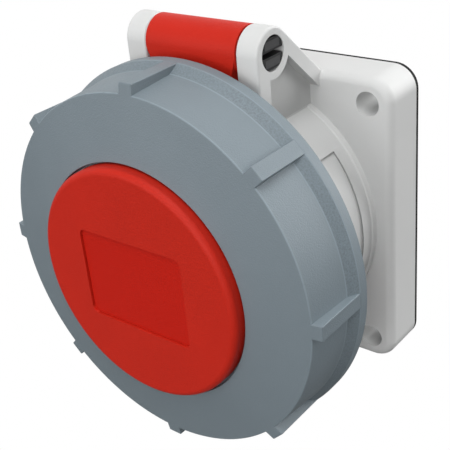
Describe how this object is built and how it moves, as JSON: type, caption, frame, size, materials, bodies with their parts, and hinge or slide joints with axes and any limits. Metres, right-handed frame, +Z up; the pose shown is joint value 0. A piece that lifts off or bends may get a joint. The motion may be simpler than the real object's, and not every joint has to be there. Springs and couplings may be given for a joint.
{
  "type": "industrial panel socket",
  "caption": "Square-flange pin-and-sleeve power socket with a hinged lid, bayonet locking ring and rear clamp terminals.",
  "frame": {"origin": "on the socket's axis, in the plane of the panel (the rear face of the gasket)", "axes": "-Y out of the socket's mouth, +Z up towards the hinge, +X right as seen from the front"},
  "size_m": [0.1292, 0.119, 0.1381],
  "materials": {
    "grey_housing": "satin",
    "ring_grey": "fine grain",
    "red_lid": "semi-gloss",
    "gasket_rubber": "matte",
    "seal_rubber": "matte",
    "black_plastic": "satin",
    "carrier_plastic": "satin",
    "contact_metal": "bright plated",
    "spring_steel": "bright",
    "screw_steel": "zinc plated"
  },
  "bodies": {
    "socket": {"housing": "grey_housing", "panel_gasket": "gasket_rubber", "hinge_pin": "black_plastic", "contact_carrier": "carrier_plastic", "base_plate": "carrier_plastic", "terminal_block": "carrier_plastic", "contact_l1": "contact_metal", "contact_l2": "contact_metal", "contact_l3": "contact_metal", "contact_n": "contact_metal", "contact_pe": "contact_metal", "contact_pilot": "contact_metal", "clip_l1": "spring_steel", "clip_l2": "spring_steel", "clip_l3": "spring_steel", "clip_n": "spring_steel", "clip_pe": "spring_steel", "terminal_screws": "screw_steel", "pilot_screw": "screw_steel", "plate_screws": "screw_steel", "block_screws": "screw_steel"},
    "lid": {"lid": "red_lid", "lid_seal": "seal_rubber"},
    "ring": {"locking_ring": "ring_grey"}
  },
  "joints": [
    {"name": "lid_hinge", "type": "hinge", "parent": "socket", "child": "lid", "pos_m": [0, -0.0414, 0.0655], "axis": [-1, 0, 0], "range_deg": [0, 110]},
    {"name": "ring_turn", "type": "hinge", "parent": "lid", "child": "ring", "pos_m": [0, -0.07, 0], "axis": [0, 1, 0], "range_deg": [0, 45]}
  ]
}
